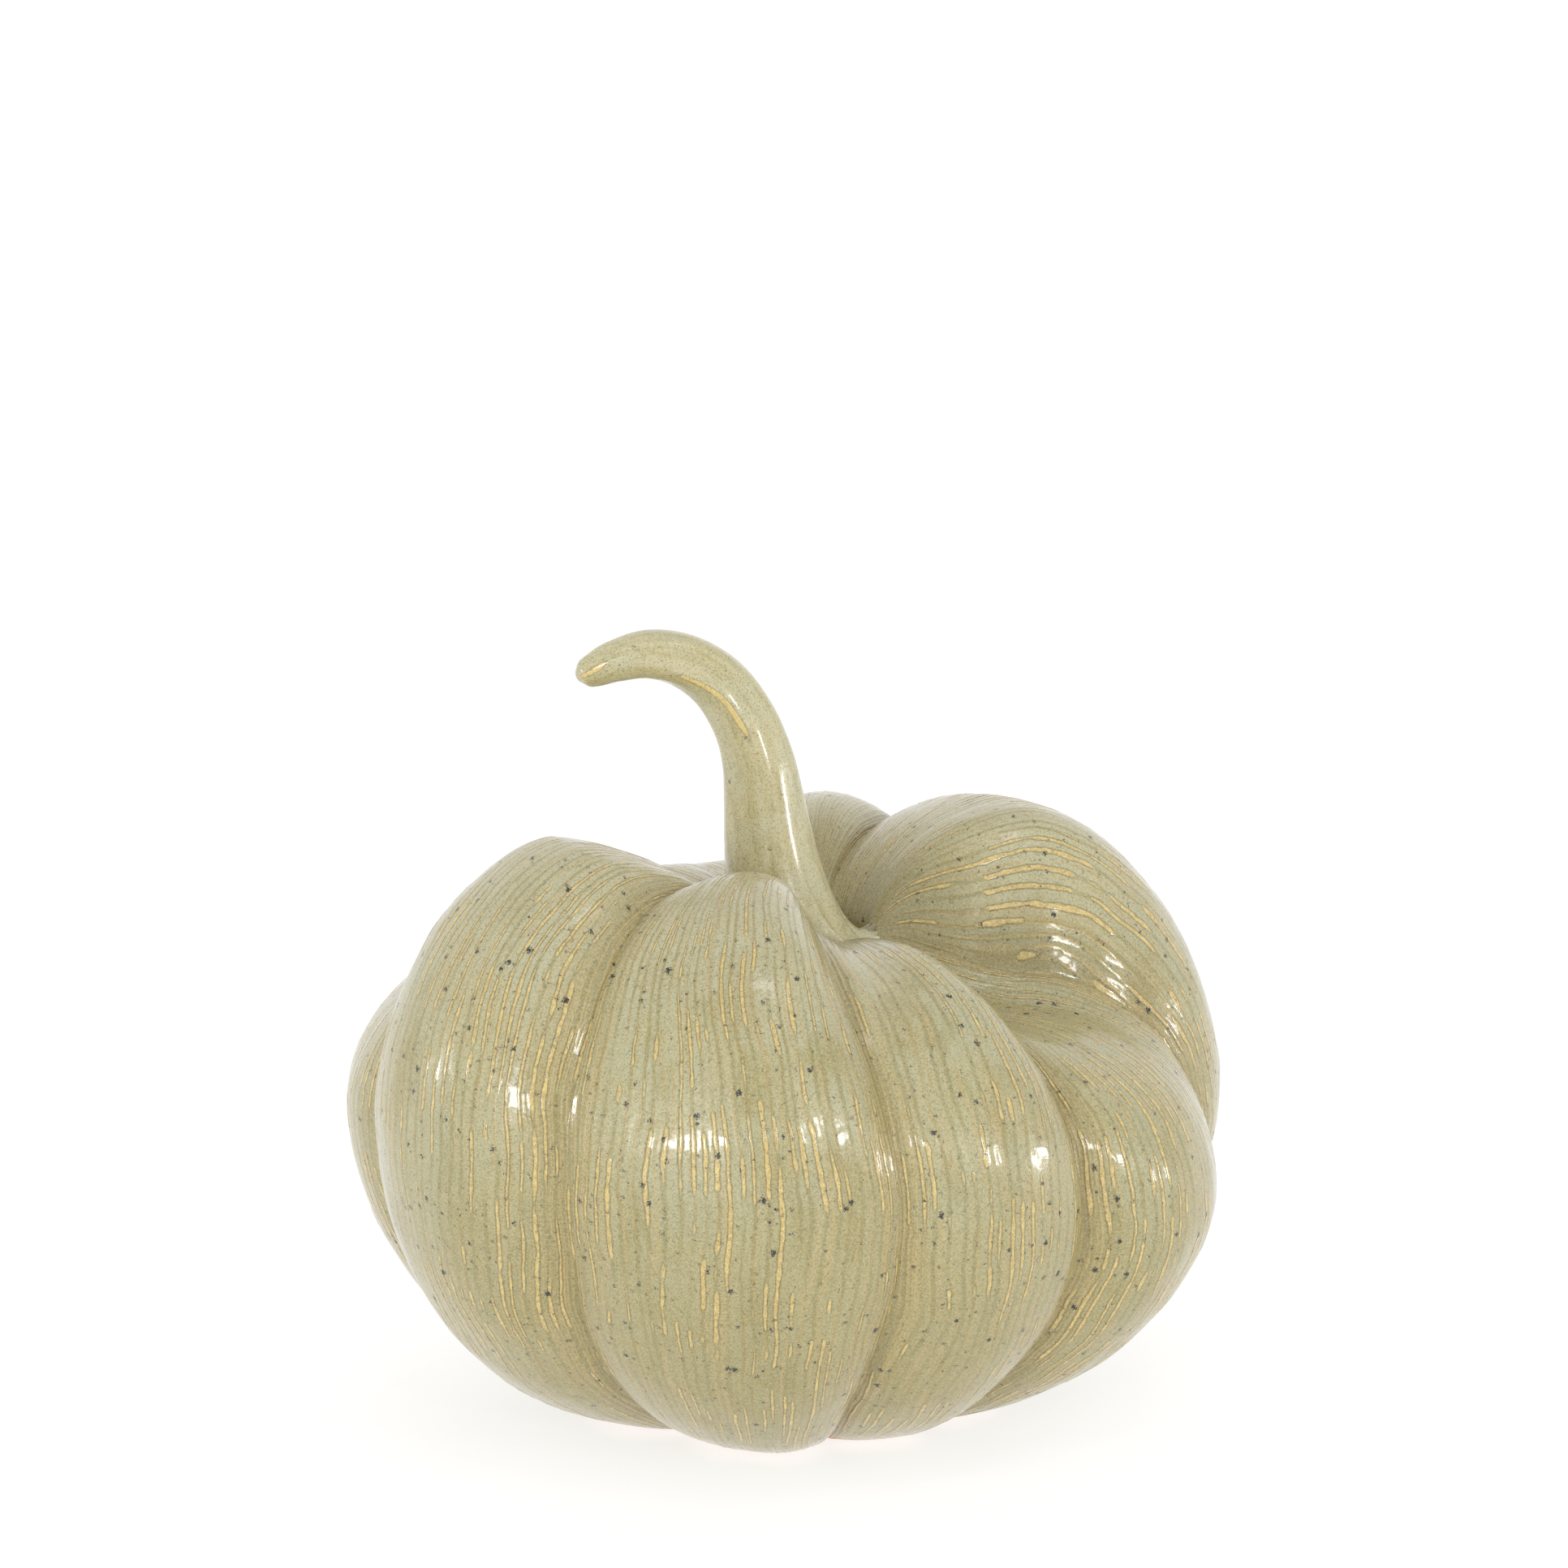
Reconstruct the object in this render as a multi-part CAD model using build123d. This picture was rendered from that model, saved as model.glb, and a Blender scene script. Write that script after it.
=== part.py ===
from build123d import *
import math
import os

# Ceramic pumpkin figure: a hollow lobed shell and the curved stem seated on its crown.
# Millimetres and degrees. +Z up, front is -Y, the shell stands on z = 0.
# Azimuths turn counter-clockwise from +X, so 270 is the front.

# ---- shell ----
WALL = 5.0
CROWN_RADIUS = 15.0
CROWN_HEIGHT = 102.0
POUR_HOLE_RADIUS = 15.0
FURROW_SHARPNESS = 0.92

# Path of every lobe crest runs crown -> top -> girth -> foot; stations of those four
CROWN_AT, TOP_AT, GIRTH_AT, FOOT_AT = 0.0, 0.25, 0.62, 1.0

# Each lobe: azimuth, radius and height at its widest, radius and height at its top,
# radius at its foot, roundness of crown dip, shoulder and lower half,
# twist of its top and of its foot
LOBES = (
    dict(az=172, girth=(99, 64), top=(52, 104), foot=38, round=(2.0, 2.0, 1.9), twist=(0, 0)),
    dict(az=213, girth=(99, 75), top=(60, 133), foot=33, round=(1.5, 1.75, 1.98), twist=(0, -9)),
    dict(az=261, girth=(89, 66), top=(42, 127), foot=36, round=(2.0, 1.95, 1.75), twist=(-8, -3)),
    dict(az=302, girth=(84, 60), top=(38, 110), foot=30, round=(2.0, 2.0, 1.75), twist=(0, 0)),
    dict(az=343, girth=(92, 51), top=(46, 91), foot=31, round=(1.3, 2.2, 1.7), twist=(0, 0)),
    dict(az=386, girth=(99, 64), top=(52, 128), foot=38, round=(1.8, 1.75, 1.9), twist=(0, 0)),
    dict(az=443, girth=(92, 64), top=(45, 124), foot=38, round=(2.0, 2.0, 1.9), twist=(0, 0)),
    dict(az=485, girth=(92, 62), top=(45, 109), foot=38, round=(2.0, 2.0, 1.9), twist=(0, 0)),
)

# Furrow after each lobe: shift from the middle at top, girth and foot;
# depth at top, girth, low and foot
FURROWS = (
    dict(shift=(0, 0, 0), depth=(8, 11, 10, 6)),
    dict(shift=(4, 0, 0), depth=(7, 6, 7, 7)),
    dict(shift=(-1, 4, 0), depth=(6, 6, 7, 5)),
    dict(shift=(-4, -4, -4), depth=(7, 9, 8, 5)),
    dict(shift=(-5, 0, 0), depth=(14, 11, 9, 6)),
    dict(shift=(14, 5, 0), depth=(9, 10, 9, 6)),
    dict(shift=(0, 0, 0), depth=(8, 11, 10, 6)),
    dict(shift=(0, 0, 0), depth=(8, 11, 10, 6)),
)
FURROW_LOW_AT = 0.85
FURROW_LEVELS_FROM = 0.80

# Rings the shell is lofted through, and where the points of a ring sit within each lobe:
# 0 is the crest, 0.5 the furrow, 1 the next crest
RING_COUNT = 41
RING_FRACTIONS = (0, 0.14, 0.27, 0.37, 0.45, 0.5, 0.55, 0.63, 0.73, 0.86)

# ---- stem ----
# Centre line of the stem and its radius there: (x, z, radius)
STEM_LINE = (
    (-1.5, 102.0, 13.0),
    (-3.0, 108.0, 12.0),
    (-5.2, 116.0, 10.9),
    (-6.6, 125.0, 9.8),
    (-7.6, 134.0, 8.8),
    (-8.8, 142.5, 7.9),
    (-11.6, 151.0, 7.1),
    (-16.8, 159.0, 6.4),
    (-24.0, 164.0, 5.7),
    (-32.0, 165.6, 5.0),
    (-39.0, 164.2, 4.2),
    (-43.4, 162.4, 3.5),
    (-46.2, 161.2, 2.6),
    (-47.6, 160.5, 1.2),
)
STEM_RIDGES = 5
RIDGE_RISE = 0.05
RIDGE_SHARPNESS = 0.3
RIDGE_TURN = (12, -12)
STEM_POINTS = 40


def ease(x):
    x = min(max(x, 0.0), 1.0)
    return x * x * (3 - 2 * x)


def between(station, stations, values):
    """Value eased between neighbouring stations."""
    for a, b, u, v in zip(stations, stations[1:], values, values[1:]):
        if station <= b:
            return u + (v - u) * ease((station - a) / (b - a))
    return values[-1]


def quarter(fraction, start, end, roundness, upright_start):
    """Point on a superellipse quarter from start to end, as (radius, height)."""
    angle = fraction * math.pi / 2
    s = math.sin(angle) ** (2 / roundness)
    c = abs(math.cos(angle)) ** (2 / roundness)
    if upright_start:
        return end[0] + (start[0] - end[0]) * c, start[1] + (end[1] - start[1]) * s
    return start[0] + (end[0] - start[0]) * s, end[1] + (start[1] - end[1]) * c


def crest(lobe, station, inset):
    """Crest of a lobe at a station, as (radius, height), moved into the clay by inset."""
    crown = (CROWN_RADIUS + inset, CROWN_HEIGHT - inset)
    top = (lobe["top"][0], lobe["top"][1] - inset)
    girth = (lobe["girth"][0] - inset, lobe["girth"][1])
    foot = (lobe["foot"], inset)
    if station <= TOP_AT:
        return quarter(station / TOP_AT, crown, top, lobe["round"][0], True)
    if station <= GIRTH_AT:
        return quarter((station - TOP_AT) / (GIRTH_AT - TOP_AT), top, girth, lobe["round"][1], False)
    return quarter((station - GIRTH_AT) / (FOOT_AT - GIRTH_AT), girth, foot, lobe["round"][2], True)


def ridge_line(index, fraction, station, inset):
    """Ungrooved shell between a lobe and the next one, as (radius, height)."""
    here = crest(LOBES[index], station, inset)
    beyond = crest(LOBES[(index + 1) % len(LOBES)], station, inset)
    share = ease(ease(fraction))
    radius = here[0] + (beyond[0] - here[0]) * share
    height = here[1] + (beyond[1] - here[1]) * share
    return radius, height


def crest_azimuth(index, station):
    """Azimuth of a lobe crest, radians; counts on past one turn after the last lobe."""
    lobe = LOBES[index % len(LOBES)]
    twist = between(station, (TOP_AT, GIRTH_AT, FOOT_AT), (lobe["twist"][0], 0, lobe["twist"][1]))
    return math.radians(lobe["az"] + twist) + 2 * math.pi * (index // len(LOBES))


def azimuth(index, fraction, station):
    """Azimuth at a fraction of the way from a lobe crest to the next one, radians."""
    start = crest_azimuth(index, station)
    end = crest_azimuth(index + 1, station)
    shift = between(station, (TOP_AT, GIRTH_AT, FOOT_AT), FURROWS[index]["shift"])
    furrow = (start + end) / 2 + math.radians(shift)
    if fraction < 0.5:
        return start + (furrow - start) * fraction * 2
    return furrow + (end - furrow) * (fraction * 2 - 1)


def furrow_depth(index, fraction, station):
    """How far the surface lies below the ungrooved shell."""
    stations = (CROWN_AT, TOP_AT, GIRTH_AT, FURROW_LOW_AT, FOOT_AT)
    deepest = between(station, stations, (0,) + FURROWS[index]["depth"])
    across = FURROW_SHARPNESS * (1 - abs(fraction * 2 - 1))
    return deepest * (1 - math.sqrt(1 - across ** 2)) / (1 - math.sqrt(1 - FURROW_SHARPNESS ** 2))


def outward(index, fraction, station, inset):
    """Angle of the outward direction above horizontal, levelling out towards the foot."""
    step = 0.002
    before = ridge_line(index, fraction, max(station - step, CROWN_AT), inset)
    after = ridge_line(index, fraction, min(station + step, FOOT_AT), inset)
    angle = math.atan2(after[0] - before[0], before[1] - after[1])
    if station > GIRTH_AT:
        angle *= 1 - ease((station - FURROW_LEVELS_FROM) / (FOOT_AT - FURROW_LEVELS_FROM))
    return angle


def shell_point(index, fraction, station, inset):
    radius, height = ridge_line(index, fraction, station, inset)
    depth = furrow_depth(index, fraction, station)
    angle = outward(index, fraction, station, inset)
    radius -= depth * math.cos(angle)
    height -= depth * math.sin(angle)
    turn = azimuth(index, fraction, station)
    return (radius * math.cos(turn), radius * math.sin(turn), height)


def closed_curve(points, parameters):
    """Smooth closed wire through the points."""
    edge = Edge.make_spline([Vector(*p) for p in points], periodic=True, parameters=parameters)
    return Wire([edge])


def shell_ring(station, inset):
    points = []
    parameters = []
    for index in range(len(LOBES)):
        for fraction in RING_FRACTIONS:
            points.append(shell_point(index, fraction, station, inset))
            parameters.append(index + fraction)
    parameters.append(len(LOBES))
    return closed_curve(points, parameters)


def lobed_body(inset):
    """Solid with the lobed outline, its skin moved into the clay by inset."""
    stations = [step / (RING_COUNT - 1) for step in range(RING_COUNT)]
    return Solid.make_loft([shell_ring(station, inset) for station in stations])


def make_shell():
    """Cast wall with its cavity, crown seat and open pour hole in the foot."""
    hole = Solid.make_cylinder(POUR_HOLE_RADIUS, 3 * WALL, Plane.XY.offset(-WALL))
    return lobed_body(0) - lobed_body(WALL) - hole


def stem_direction(station):
    """Unit direction (x, z) of the stem's centre line; upright where it sits on the crown."""
    if station == 0:
        return 0.0, 1.0
    before = STEM_LINE[station - 1]
    after = STEM_LINE[min(station + 1, len(STEM_LINE) - 1)]
    length = math.hypot(after[0] - before[0], after[1] - before[1])
    return (after[0] - before[0]) / length, (after[1] - before[1]) / length


def stem_ring(station):
    """Ridged section of the stem, square to its centre line."""
    x, z, radius = STEM_LINE[station]
    along_x, along_z = stem_direction(station)
    share = station / (len(STEM_LINE) - 1)
    turn = RIDGE_TURN[0] + (RIDGE_TURN[1] - RIDGE_TURN[0]) * share
    points = []
    for step in range(STEM_POINTS):
        angle = 2 * math.pi * step / STEM_POINTS
        phase = STEM_RIDGES * (angle - math.radians(turn))
        ridge = (math.cos(phase) + RIDGE_SHARPNESS * math.cos(2 * phase)) / (1 + RIDGE_SHARPNESS)
        reach = radius * (1 - RIDGE_RISE * (1 - ridge))
        side = reach * math.sin(angle)
        points.append((x + side * along_z, -reach * math.cos(angle), z - side * along_x))
    return closed_curve(points, range(STEM_POINTS + 1))


def make_stem():
    return Solid.make_loft([stem_ring(station) for station in range(len(STEM_LINE))])


shell = make_shell()
stem = make_stem()

# Origin on the floor under the middle of the shell's outline
middle = shell.bounding_box().center()
to_origin = Location((-middle.X, -middle.Y, 0))

os.makedirs("parts", exist_ok=True)
for name, piece in (("shell", shell), ("stem", stem)):
    placed = piece.moved(to_origin)
    placed.label = name
    export_step(placed, "parts/" + name + ".step")
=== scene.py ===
import math

import bpy
import numpy as np
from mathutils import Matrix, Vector
from mathutils.kdtree import KDTree


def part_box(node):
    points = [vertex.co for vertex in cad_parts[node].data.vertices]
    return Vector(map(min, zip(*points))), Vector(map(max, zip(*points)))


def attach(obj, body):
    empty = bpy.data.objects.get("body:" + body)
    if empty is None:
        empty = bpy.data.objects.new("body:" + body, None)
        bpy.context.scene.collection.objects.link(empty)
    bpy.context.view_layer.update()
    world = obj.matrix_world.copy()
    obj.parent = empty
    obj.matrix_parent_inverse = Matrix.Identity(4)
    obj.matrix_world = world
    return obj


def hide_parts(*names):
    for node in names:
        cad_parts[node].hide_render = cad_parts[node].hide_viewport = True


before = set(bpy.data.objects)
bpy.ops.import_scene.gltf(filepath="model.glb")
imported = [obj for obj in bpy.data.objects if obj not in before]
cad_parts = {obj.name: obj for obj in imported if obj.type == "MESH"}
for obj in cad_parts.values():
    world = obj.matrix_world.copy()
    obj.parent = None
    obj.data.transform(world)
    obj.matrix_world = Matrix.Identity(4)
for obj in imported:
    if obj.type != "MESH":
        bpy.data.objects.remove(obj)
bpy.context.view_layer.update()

MM = 0.001

# ---------------------------------------------------------------- shape tables (mm, degrees)
# The same lobes and furrows as the CAD shell.
CROWN_RADIUS, CROWN_HEIGHT, WALL = 15.0, 102.0, 5.0
TOP_AT, GIRTH_AT, LOW_AT, LEVEL_FROM = 0.25, 0.62, 0.85, 0.80
SHARP = 0.92
LOBES = (
    # azimuth, girth (r, z), top (r, z), foot r, roundness crown/shoulder/low, twist top/foot
    (172, (99, 64), (52, 104), 38, (2.0, 2.0, 1.9), (0, 0)),
    (213, (99, 75), (60, 133), 33, (1.5, 1.75, 1.98), (0, -9)),
    (261, (89, 66), (42, 127), 36, (2.0, 1.95, 1.75), (-8, -3)),
    (302, (84, 60), (38, 110), 30, (2.0, 2.0, 1.75), (0, 0)),
    (343, (92, 51), (46, 91), 31, (1.3, 2.2, 1.7), (0, 0)),
    (386, (99, 64), (52, 128), 38, (1.8, 1.75, 1.9), (0, 0)),
    (443, (92, 64), (45, 124), 38, (2.0, 2.0, 1.9), (0, 0)),
    (485, (92, 62), (45, 109), 38, (2.0, 2.0, 1.9), (0, 0)),
)
# Foot side of the pour hole, from the flat foot over the rounded lip and up the wall: (radius, z)
LIP = (
    (17.5, 0.0), (16.2, 0.0), (15.5, 0.22), (15.1, 0.7),
    (15.0, 1.4), (15.0, 4.2), (15.3, 4.8), (16.0, 5.0),
)
FURROWS = (
    # shift at top/girth/foot, depth at top/girth/low/foot
    ((0, 0, 0), (8, 11, 10, 6)),
    ((4, 0, 0), (7, 6, 7, 7)),
    ((-1, 4, 0), (6, 6, 7, 5)),
    ((-4, -4, -4), (7, 9, 8, 5)),
    ((-5, 0, 0), (14, 11, 9, 6)),
    ((14, 5, 0), (9, 10, 9, 6)),
    ((0, 0, 0), (8, 11, 10, 6)),
    ((0, 0, 0), (8, 11, 10, 6)),
)
STEM_LINE = np.array((
    (-1.5, 102.0, 13.0), (-3.0, 108.0, 12.0), (-5.2, 116.0, 10.9), (-6.6, 125.0, 9.8),
    (-7.6, 134.0, 8.8), (-8.8, 142.5, 7.9), (-11.6, 151.0, 7.1), (-16.8, 159.0, 6.4),
    (-24.0, 164.0, 5.7), (-32.0, 165.6, 5.0), (-39.0, 164.2, 4.2), (-43.4, 162.4, 3.5),
    (-46.2, 161.2, 2.6), (-47.6, 160.5, 1.2),
))


def ease(x):
    x = np.clip(x, 0.0, 1.0)
    return x * x * (3 - 2 * x)


def between(t, stations, values):
    out = np.full_like(t, float(values[-1]))
    done = np.zeros(t.shape, bool)
    for a, b, u, v in zip(stations, stations[1:], values, values[1:]):
        part = (t <= b) & ~done
        out[part] = u + (v - u) * ease((t[part] - a) / (b - a))
        done |= part
    return out


def quarter(fraction, start, end, roundness, upright):
    angle = np.clip(fraction, 0, 1) * np.pi / 2
    s = np.sin(angle) ** (2 / roundness)
    c = np.abs(np.cos(angle)) ** (2 / roundness)
    if upright:
        return end[0] + (start[0] - end[0]) * c, start[1] + (end[1] - start[1]) * s
    return start[0] + (end[0] - start[0]) * s, end[1] + (start[1] - end[1]) * c


def crest(lobe, t, inset):
    _, girth, top, foot, rounds, _ = lobe
    marks = (
        (CROWN_RADIUS + inset, CROWN_HEIGHT - inset),
        (top[0], top[1] - inset),
        (girth[0] - inset, girth[1]),
        (foot, inset),
    )
    stations = (0.0, TOP_AT, GIRTH_AT, 1.0)
    r = np.zeros_like(t)
    z = np.zeros_like(t)
    for k in range(3):
        part = (t >= stations[k]) & (t <= stations[k + 1])
        fraction = (t[part] - stations[k]) / (stations[k + 1] - stations[k])
        r[part], z[part] = quarter(fraction, marks[k], marks[k + 1], rounds[k], k != 1)
    return r, z


def shell_points(turns, t, inset=0.0):
    """Points (len(t), len(turns), 3) of the shell, mm about its own axis; turns counts lobes."""
    count = len(LOBES)
    steps = (TOP_AT, GIRTH_AT, 1.0)
    crests = [crest(lobe, t, inset) for lobe in LOBES]
    azimuths = [
        np.radians(lobe[0] + between(t, steps, (lobe[5][0], 0, lobe[5][1]))) for lobe in LOBES
    ]
    points = np.zeros((len(t), len(turns), 3))
    wrapped = np.mod(turns, count)
    index = np.floor(wrapped).astype(int) % count
    for i in range(count):
        columns = np.nonzero(index == i)[0]
        if not len(columns):
            continue
        f = (wrapped[columns] - i)[None, :]
        j = (i + 1) % count
        shifts, depths = FURROWS[i]
        start = azimuths[i]
        end = azimuths[j] + (2 * np.pi if j == 0 else 0)
        furrow = (start + end) / 2 + np.radians(between(t, steps, shifts))
        depth = between(t, (0, TOP_AT, GIRTH_AT, LOW_AT, 1.0), (0,) + depths)[:, None]
        start, end, furrow = start[:, None], end[:, None], furrow[:, None]
        phi = np.where(f < 0.5, start + (furrow - start) * 2 * f, furrow + (end - furrow) * (2 * f - 1))
        share = ease(ease(f))
        r = crests[i][0][:, None] * (1 - share) + crests[j][0][:, None] * share
        z = crests[i][1][:, None] * (1 - share) + crests[j][1][:, None] * share
        dr, dz = np.gradient(r, axis=0), np.gradient(z, axis=0)
        angle = np.arctan2(dr, -dz)
        level = (1 - ease((t - LEVEL_FROM) / (1 - LEVEL_FROM)))[:, None]
        angle = np.where((t > GIRTH_AT)[:, None], angle * level, angle)
        across = SHARP * (1 - np.abs(2 * f - 1))
        dip = depth * (1 - np.sqrt(1 - across**2)) / (1 - math.sqrt(1 - SHARP**2))
        r = r - dip * np.cos(angle)
        z = z - dip * np.sin(angle)
        points[:, columns, 0] = r * np.cos(phi)
        points[:, columns, 1] = r * np.sin(phi)
        points[:, columns, 2] = z
    return points


# ---------------------------------------------------------------- axis of the shell in the row frame
low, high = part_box("shell")
probe = shell_points(np.linspace(0, 8, 1600, endpoint=False), np.linspace(0, 1, 400))
AXIS = np.array([
    (low[0] + high[0]) / 2 - MM * (probe[..., 0].min() + probe[..., 0].max()) / 2,
    (low[1] + high[1]) / 2 - MM * (probe[..., 1].min() + probe[..., 1].max()) / 2,
    low[2],
])


def place(points):
    return np.asarray(points) * MM + AXIS


# ---------------------------------------------------------------- camera
AIM = np.array((0.0, 0.0, 70.0))
DISTANCE, ELEVATION = 1300.0, math.radians(16)
LENS, PITCH_OFF, YAW_OFF = 137.35, math.atan(372 / 7371), math.atan(19 / 7371)
eye = place(AIM + DISTANCE * np.array((0, -math.cos(ELEVATION), math.sin(ELEVATION))))
pitch = ELEVATION - PITCH_OFF
look = Vector((0, math.cos(pitch), -math.sin(pitch)))
look = Vector((-look.y * math.sin(YAW_OFF), look.y * math.cos(YAW_OFF), look.z))
camera_data = bpy.data.cameras.new("camera")
camera_data.lens = LENS
camera_data.sensor_width = 36
camera_data.clip_end = 50
camera = bpy.data.objects.new("camera", camera_data)
camera.location = eye
camera.rotation_euler = look.to_track_quat("-Z", "Y").to_euler()
bpy.context.scene.collection.objects.link(camera)
bpy.context.scene.camera = camera


# ---------------------------------------------------------------- node fields, shared by materials and shapes
class Field:
    """A number that varies over a surface, in a shader tree or a geometry tree."""

    def __init__(self, tree, socket):
        self.tree = tree
        self.socket = socket

    def math(self, operation, *others):
        made = self.tree.nodes.new("ShaderNodeMath")
        made.operation = operation
        for slot, value in enumerate((self,) + others):
            connect(self.tree, value, made.inputs[slot])
        return Field(self.tree, made.outputs[0])

    def __add__(self, other):
        return self.math("ADD", other)

    def __sub__(self, other):
        return self.math("SUBTRACT", other)

    def __mul__(self, other):
        return self.math("MULTIPLY", other)

    def __truediv__(self, other):
        return self.math("DIVIDE", other)

    __radd__, __rmul__ = __add__, __mul__

    def __rsub__(self, other):
        return (self * -1.0) + other

    def most(self, other):
        return self.math("MAXIMUM", other)

    def power(self, other):
        return self.math("POWER", other)

    def size(self):
        return self.math("ABSOLUTE")

    def step(self, start, end, low_value=0.0, high_value=1.0):
        """Smooth step from low_value at start to high_value at end."""
        made = self.tree.nodes.new("ShaderNodeMapRange")
        made.interpolation_type = "SMOOTHSTEP"
        for slot, value in enumerate((self, start, end, low_value, high_value)):
            connect(self.tree, value, made.inputs[slot])
        return Field(self.tree, made.outputs[0])


def connect(tree, value, socket):
    if isinstance(value, Field):
        tree.links.new(value.socket, socket)
    else:
        socket.default_value = value


def attribute(tree, name, kind="FLOAT"):
    """A stored attribute; kind FLOAT or FLOAT_VECTOR."""
    if tree.bl_idname == "ShaderNodeTree":
        made = tree.nodes.new("ShaderNodeAttribute")
        made.attribute_name = name
        return Field(tree, made.outputs["Vector" if kind == "FLOAT_VECTOR" else "Fac"])
    made = tree.nodes.new("GeometryNodeInputNamedAttribute")
    made.data_type = kind
    made.inputs["Name"].default_value = name
    return Field(tree, made.outputs[0])


def position(tree):
    """Place on the piece in the row frame, in millimetres."""
    if tree.bl_idname == "ShaderNodeTree":
        made = tree.nodes.new("ShaderNodeTexCoord")
        source = made.outputs["Object"]
    else:
        made = tree.nodes.new("GeometryNodeInputPosition")
        source = made.outputs[0]
    scaled = tree.nodes.new("ShaderNodeVectorMath")
    scaled.operation = "SCALE"
    tree.links.new(source, scaled.inputs[0])
    scaled.inputs["Scale"].default_value = 1 / MM
    return Field(tree, scaled.outputs[0])


def split(vector):
    made = vector.tree.nodes.new("ShaderNodeSeparateXYZ")
    vector.tree.links.new(vector.socket, made.inputs[0])
    return [Field(vector.tree, out) for out in made.outputs]


def join(tree, x, y, z):
    made = tree.nodes.new("ShaderNodeCombineXYZ")
    for slot, value in enumerate((x, y, z)):
        connect(tree, value, made.inputs[slot])
    return Field(tree, made.outputs[0])


def noise(vector, scale, detail=1.0, rough=0.5, colour=False):
    tree = vector.tree
    made = tree.nodes.new("ShaderNodeTexNoise")
    tree.links.new(vector.socket, made.inputs["Vector"])
    made.inputs["Scale"].default_value = scale
    made.inputs["Detail"].default_value = detail
    made.inputs["Roughness"].default_value = rough
    return Field(tree, made.outputs[1 if colour else 0])


def cell_outputs(made):
    """Distance to the nearest cell and two random numbers for that cell."""
    tree = made.id_data
    shade = tree.nodes.new("ShaderNodeSeparateXYZ")
    tree.links.new(made.outputs["Color"], shade.inputs[0])
    return Field(tree, made.outputs["Distance"]), Field(tree, shade.outputs[0]), Field(tree, shade.outputs[1])


def cells_1d(value, randomness):
    """Lines one unit apart, moved about by randomness."""
    made = value.tree.nodes.new("ShaderNodeTexVoronoi")
    made.voronoi_dimensions = "1D"
    value.tree.links.new(value.socket, made.inputs["W"])
    made.inputs["Scale"].default_value = 1.0
    made.inputs["Randomness"].default_value = randomness
    return cell_outputs(made)


def cells_3d(vector, scale):
    """Spots scattered through space."""
    made = vector.tree.nodes.new("ShaderNodeTexVoronoi")
    vector.tree.links.new(vector.socket, made.inputs["Vector"])
    made.inputs["Scale"].default_value = scale
    return cell_outputs(made)


def shifted(vector, amount):
    made = vector.tree.nodes.new("ShaderNodeVectorMath")
    made.operation = "ADD"
    vector.tree.links.new(vector.socket, made.inputs[0])
    connect(vector.tree, amount, made.inputs[1])
    return Field(vector.tree, made.outputs[0])


def stretched(vector, factors):
    made = vector.tree.nodes.new("ShaderNodeVectorMath")
    made.operation = "MULTIPLY"
    vector.tree.links.new(vector.socket, made.inputs[0])
    made.inputs[1].default_value = factors
    return Field(vector.tree, made.outputs[0])


def scaled(vector, amount):
    made = vector.tree.nodes.new("ShaderNodeVectorMath")
    made.operation = "SCALE"
    vector.tree.links.new(vector.socket, made.inputs[0])
    connect(vector.tree, amount, made.inputs["Scale"])
    return Field(vector.tree, made.outputs[0])


COMB_PITCH, FAINT_PITCH, FURROW_PITCH = 2.8, 1.4, 1.1


def comb(tree):
    """Combed lines, each 0 to 1: bold ridge, its dark edge (partly pooled glaze, partly painted shade), faint
    line, the comb's even track and close furrow lines."""
    across, along, _ = split(attribute(tree, "flow", "FLOAT_VECTOR"))
    furrow = attribute(tree, "furrow")
    place_mm = position(tree)
    wander = (noise(place_mm, 0.032, 1.0) - 0.5) * 7.0 + (noise(place_mm, 0.20, 2.0) - 0.5) * 0.8
    line = across + wander
    distance, chance, other = cells_1d(line / COMB_PITCH, 0.38)
    distance = distance * COMB_PITCH
    patch = noise(place_mm, 0.045, 1.0)
    run = noise(join(tree, chance * 91.0, along / 21.0, other * 37.0), 1.0, 2.0, 0.6)
    threshold = patch.step(0.36, 0.64, 0.58, 0.42)
    strength = (run - threshold).step(0.0, 0.05)
    thin = noise(join(tree, chance * 53.0, along / 4.0, 3.0), 1.0, 2.0).step(0.25, 0.75, 0.58, 1.24)
    width = strength * (other * 0.22 + 0.27) * thin
    bold = (distance - width).step(-0.14, 0.08, 1.0, 0.0) * strength
    ridge_edge_pool_and_shade = (distance - width - 0.16).size().step(0.04, 0.19, 1.0, 0.0) * strength
    track_run = noise(join(tree, chance * 29.0, along / 26.0, 5.0), 1.0, 1.0).step(0.26, 0.54)
    track = distance.step(0.15, 0.75, 1.0, 0.0) * track_run
    faint_distance, faint_chance, faint_other = cells_1d((line + 50.0) / FAINT_PITCH, 0.9)
    faint_run = noise(join(tree, faint_chance * 77.0, along / 24.0, faint_other * 19.0), 1.0, 2.0, 0.6)
    faint = faint_run.step(0.44, 0.60) * faint_distance.step(0.08, 0.40, 1.0, 0.0)
    close_distance, close_chance, _ = cells_1d((line + 9.0) / FURROW_PITCH, 0.7)
    close_run = noise(join(tree, close_chance * 61.0, along / 40.0, 8.0), 1.0, 1.0).step(0.34, 0.52)
    close = close_distance.step(0.10, 0.34, 1.0, 0.0) * close_run * furrow.step(0.20, 0.62)
    clear = 1.0 - bold
    return bold, ridge_edge_pool_and_shade, faint * clear, track * clear, close * clear


# ---------------------------------------------------------------- materials
def srgb(red, green, blue):
    def linear(value):
        value /= 255
        return value / 12.92 if value <= 0.04045 else ((value + 0.055) / 1.055) ** 2.4
    return (linear(red), linear(green), linear(blue), 1.0)


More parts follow.
